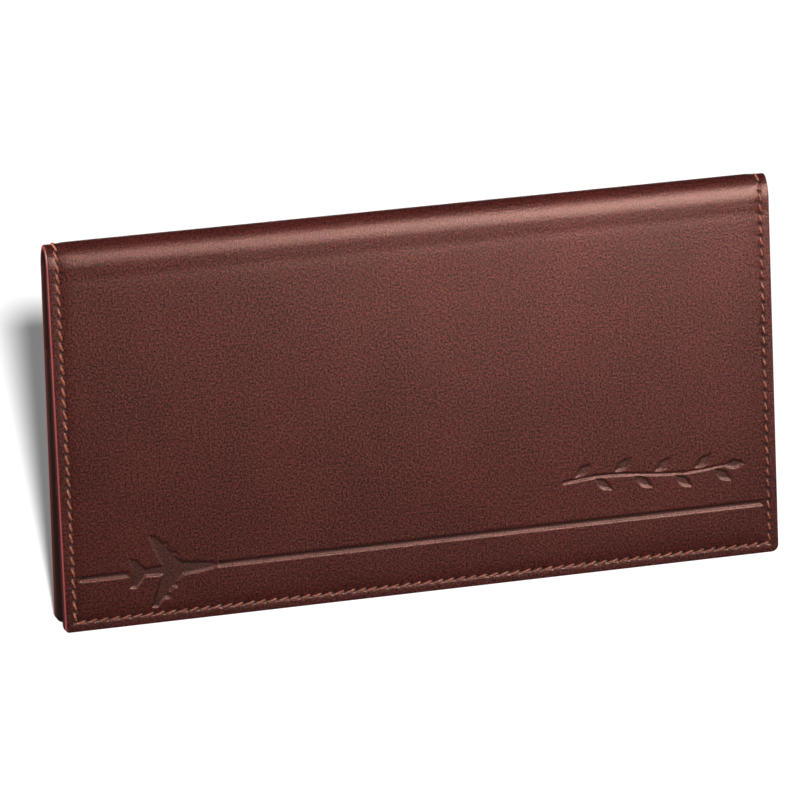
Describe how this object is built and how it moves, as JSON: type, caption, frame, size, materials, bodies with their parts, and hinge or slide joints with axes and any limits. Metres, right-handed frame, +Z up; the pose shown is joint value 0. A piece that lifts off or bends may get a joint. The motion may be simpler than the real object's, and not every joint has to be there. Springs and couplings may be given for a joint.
{
  "type": "travel wallet",
  "caption": "Long bi-fold leather travel wallet standing as a narrow tent, stitched edges, debossed airliner and line, inner pockets and card slots.",
  "frame": {"origin": "on the floor, under the middle of the standing wallet", "axes": "+X along the wallet's width, to the right as seen from the front; the front cover faces -Y; +Z up, towards the fold"},
  "size_m": [0.22, 0.0156, 0.1151],
  "materials": {
    "outer_leather": "smooth dyed calf leather, satin, red-brown",
    "lining_leather": "thin split leather, dark brown",
    "stiffening_board": "plain fibre board",
    "seam_thread": "bonded thread, tan"
  },
  "bodies": {
    "spine": {"spine_leather": "outer_leather", "spine_lining": "lining_leather", "spine_thread_left": "seam_thread", "spine_thread_right": "seam_thread"},
    "front_cover": {"front_leather": "outer_leather", "front_board": "stiffening_board", "front_lining": "lining_leather", "ticket_pocket": "lining_leather", "card_slot_left_upper": "lining_leather", "card_slot_left_middle": "lining_leather", "card_slot_left_lower": "lining_leather", "card_slot_right_upper": "lining_leather", "card_slot_right_middle": "lining_leather", "card_slot_right_lower": "lining_leather", "front_seam_thread": "seam_thread", "card_divider_thread": "seam_thread"},
    "back_cover": {"back_leather": "outer_leather", "back_board": "stiffening_board", "back_lining": "lining_leather", "passport_pocket": "lining_leather", "note_pocket": "lining_leather", "back_seam_thread": "seam_thread", "pocket_divider_thread": "seam_thread"}
  },
  "joints": [
    {"name": "front_fold", "type": "hinge", "parent": "spine", "child": "front_cover", "pos_m": [0, -0.0046, 0.10746], "axis": [-1, 0, 0], "range_deg": [-1.7, 88.3]},
    {"name": "back_fold", "type": "hinge", "parent": "spine", "child": "back_cover", "pos_m": [0, 0.0046, 0.10746], "axis": [1, 0, 0], "range_deg": [-1.7, 88.3]}
  ]
}
